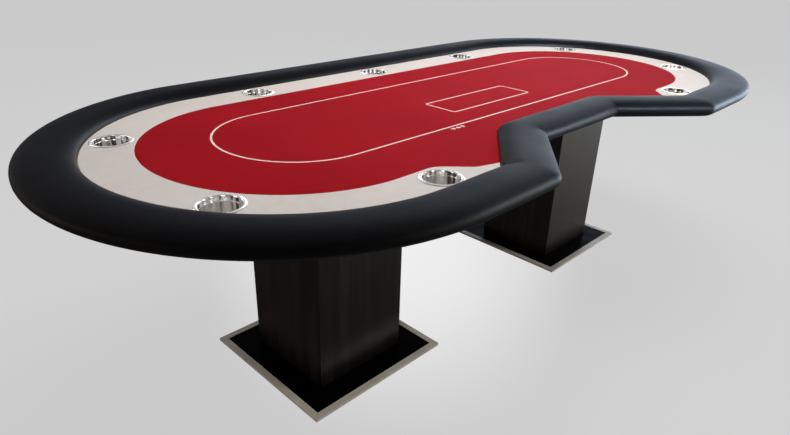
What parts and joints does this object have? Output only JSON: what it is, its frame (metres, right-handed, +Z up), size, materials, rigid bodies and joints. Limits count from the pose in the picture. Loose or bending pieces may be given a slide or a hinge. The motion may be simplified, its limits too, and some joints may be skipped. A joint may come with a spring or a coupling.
{
  "type": "poker table",
  "caption": "Stadium-shaped poker table with a padded rail, dealer cut-out, cloth playing area, race track with lift-out cup holders and box pedestals.",
  "frame": {"origin": "on the floor under the centre of the table's bounding box", "axes": "+X along the table's length, +Y away from the dealer's cut-out, +Z up"},
  "size_m": [2.722, 1.296, 0.762],
  "materials": {
    "rail_leatherette": "black leatherette, fine grain, satin",
    "foam": "upholstery foam",
    "plywood": "unfinished plywood",
    "zinc_steel": "zinc plated",
    "race_vinyl": "ivory leatherette, satin",
    "playing_cloth": "red speed cloth with printed white lines",
    "cup_steel": "polished stainless steel",
    "column_woodgrain": "black-brown wood-grain laminate",
    "base_laminate": "black high-gloss laminate",
    "trim_metal": "satin champagne edging",
    "glide_nylon": "black nylon"
  },
  "bodies": {
    "table": {"rail_cover": "rail_leatherette", "rail_foam": "foam", "rail_base": "plywood", "rail_bolt_far_left": "zinc_steel", "rail_bolt_far_right": "zinc_steel", "rail_bolt_end_left_far": "zinc_steel", "rail_bolt_end_left_near": "zinc_steel", "rail_bolt_end_right_far": "zinc_steel", "rail_bolt_end_right_near": "zinc_steel", "rail_bolt_notch_left": "zinc_steel", "rail_bolt_notch_right": "zinc_steel", "base_deck": "plywood", "race_track_board": "plywood", "race_track_cover": "race_vinyl", "playfield_board": "plywood", "playfield_foam": "foam", "playing_cloth": "playing_cloth", "deck_beam_near": "plywood", "deck_beam_far": "plywood", "cross_batten_left": "plywood", "cross_batten_right": "plywood", "left_top_plate": "plywood", "left_base_board": "base_laminate", "left_column_panel_near": "column_woodgrain", "left_base_trim_near": "trim_metal", "left_column_panel_right": "column_woodgrain", "left_base_trim_right": "trim_metal", "left_column_panel_far": "column_woodgrain", "left_base_trim_far": "trim_metal", "left_column_panel_left": "column_woodgrain", "left_base_trim_left": "trim_metal", "left_glide_near_left": "glide_nylon", "left_glide_near_right": "glide_nylon", "left_glide_far_right": "glide_nylon", "left_glide_far_left": "glide_nylon", "right_top_plate": "plywood", "right_base_board": "base_laminate", "right_column_panel_near": "column_woodgrain", "right_base_trim_near": "trim_metal", "right_column_panel_right": "column_woodgrain", "right_base_trim_right": "trim_metal", "right_column_panel_far": "column_woodgrain", "right_base_trim_far": "trim_metal", "right_column_panel_left": "column_woodgrain", "right_base_trim_left": "trim_metal", "right_glide_near_left": "glide_nylon", "right_glide_near_right": "glide_nylon", "right_glide_far_right": "glide_nylon", "right_glide_far_left": "glide_nylon"},
    "cup_far_left": {"cup_holder_far_left": "cup_steel"},
    "cup_far_middle": {"cup_holder_far_middle": "cup_steel"},
    "cup_far_right": {"cup_holder_far_right": "cup_steel"},
    "cup_end_left_far": {"cup_holder_end_left_far": "cup_steel"},
    "cup_end_left_near": {"cup_holder_end_left_near": "cup_steel"},
    "cup_end_right_far": {"cup_holder_end_right_far": "cup_steel"},
    "cup_end_right_near": {"cup_holder_end_right_near": "cup_steel"},
    "cup_near_left": {"cup_holder_near_left": "cup_steel"},
    "cup_near_right": {"cup_holder_near_right": "cup_steel"}
  },
  "joints": [
    {"name": "cup_far_left_lift", "type": "slide", "parent": "table", "child": "cup_far_left", "axis": [0, 0, 1], "range_m": [0, 0.09]},
    {"name": "cup_far_middle_lift", "type": "slide", "parent": "table", "child": "cup_far_middle", "axis": [0, 0, 1], "range_m": [0, 0.09]},
    {"name": "cup_far_right_lift", "type": "slide", "parent": "table", "child": "cup_far_right", "axis": [0, 0, 1], "range_m": [0, 0.09]},
    {"name": "cup_end_left_far_lift", "type": "slide", "parent": "table", "child": "cup_end_left_far", "axis": [0, 0, 1], "range_m": [0, 0.09]},
    {"name": "cup_end_left_near_lift", "type": "slide", "parent": "table", "child": "cup_end_left_near", "axis": [0, 0, 1], "range_m": [0, 0.09]},
    {"name": "cup_end_right_far_lift", "type": "slide", "parent": "table", "child": "cup_end_right_far", "axis": [0, 0, 1], "range_m": [0, 0.09]},
    {"name": "cup_end_right_near_lift", "type": "slide", "parent": "table", "child": "cup_end_right_near", "axis": [0, 0, 1], "range_m": [0, 0.09]},
    {"name": "cup_near_left_lift", "type": "slide", "parent": "table", "child": "cup_near_left", "axis": [0, 0, 1], "range_m": [0, 0.09]},
    {"name": "cup_near_right_lift", "type": "slide", "parent": "table", "child": "cup_near_right", "axis": [0, 0, 1], "range_m": [0, 0.09]}
  ]
}
